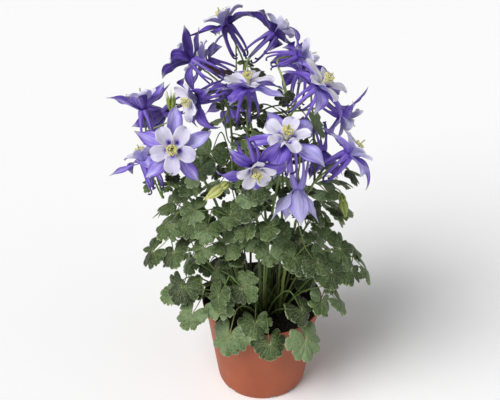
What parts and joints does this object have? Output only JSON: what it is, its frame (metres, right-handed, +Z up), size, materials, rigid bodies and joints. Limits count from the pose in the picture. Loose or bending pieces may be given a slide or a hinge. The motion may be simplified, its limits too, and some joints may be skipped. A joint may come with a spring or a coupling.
{
  "type": "columbine plant in a nursery pot",
  "caption": "Columbine in flower, with violet and white long-spurred blooms on branching stems above divided leaves, growing in a round terracotta-coloured nursery pot.",
  "frame": {"origin": "centre of the pot's base, on the surface that the pot stands on", "axes": "+Z up along the pot's axis; the plant's front looks along -Y; +X is to the right seen from the front"},
  "size_m": [0.2463, 0.265, 0.4036],
  "materials": {
    "terracotta": "matte",
    "potting_soil": "matte",
    "leaf_green": "matte",
    "sepal_violet": "satin",
    "petal_white": "satin",
    "pollen_yellow": "matte"
  },
  "bodies": {
    "root": {"pot": "terracotta", "soil": "potting_soil", "crown_front": "leaf_green", "crown_right": "leaf_green", "crown_back_right": "leaf_green", "crown_back_left": "leaf_green", "crown_left": "leaf_green", "bloom_01_calyx": "sepal_violet", "bloom_01_corolla": "petal_white", "bloom_01_stamens": "pollen_yellow", "bloom_02_calyx": "sepal_violet", "bloom_02_corolla": "petal_white", "bloom_03_calyx": "sepal_violet", "bloom_03_corolla": "petal_white", "bloom_04_calyx": "sepal_violet", "bloom_04_corolla": "petal_white", "bloom_04_stamens": "pollen_yellow", "bloom_05_calyx": "sepal_violet", "bloom_05_corolla": "petal_white", "bloom_05_stamens": "pollen_yellow", "bloom_06_calyx": "sepal_violet", "bloom_06_corolla": "petal_white", "bloom_07_calyx": "sepal_violet", "bloom_07_corolla": "petal_white", "bloom_07_stamens": "pollen_yellow", "bloom_08_calyx": "sepal_violet", "bloom_08_corolla": "petal_white", "bloom_08_stamens": "pollen_yellow", "bloom_09_calyx": "sepal_violet", "bloom_09_corolla": "petal_white", "bloom_09_stamens": "pollen_yellow", "bloom_10_calyx": "sepal_violet", "bloom_10_corolla": "petal_white", "bloom_10_stamens": "pollen_yellow", "bloom_11_calyx": "sepal_violet", "bloom_11_corolla": "petal_white", "bloom_11_stamens": "pollen_yellow", "bloom_12_calyx": "sepal_violet", "bloom_12_corolla": "petal_white", "bloom_12_stamens": "pollen_yellow", "bloom_13_calyx": "sepal_violet", "bloom_13_corolla": "petal_white", "bloom_14_calyx": "sepal_violet", "bloom_14_corolla": "petal_white", "bloom_14_stamens": "pollen_yellow", "bloom_15_calyx": "sepal_violet", "bloom_15_corolla": "petal_white", "bloom_16_calyx": "sepal_violet", "bloom_16_corolla": "petal_white", "bloom_17_calyx": "sepal_violet", "bloom_17_corolla": "petal_white", "bloom_18_calyx": "sepal_violet", "bloom_18_corolla": "petal_white", "bloom_19_calyx": "sepal_violet", "bloom_19_corolla": "petal_white", "bloom_20_calyx": "sepal_violet", "bloom_20_corolla": "petal_white"}
  },
  "joints": []
}
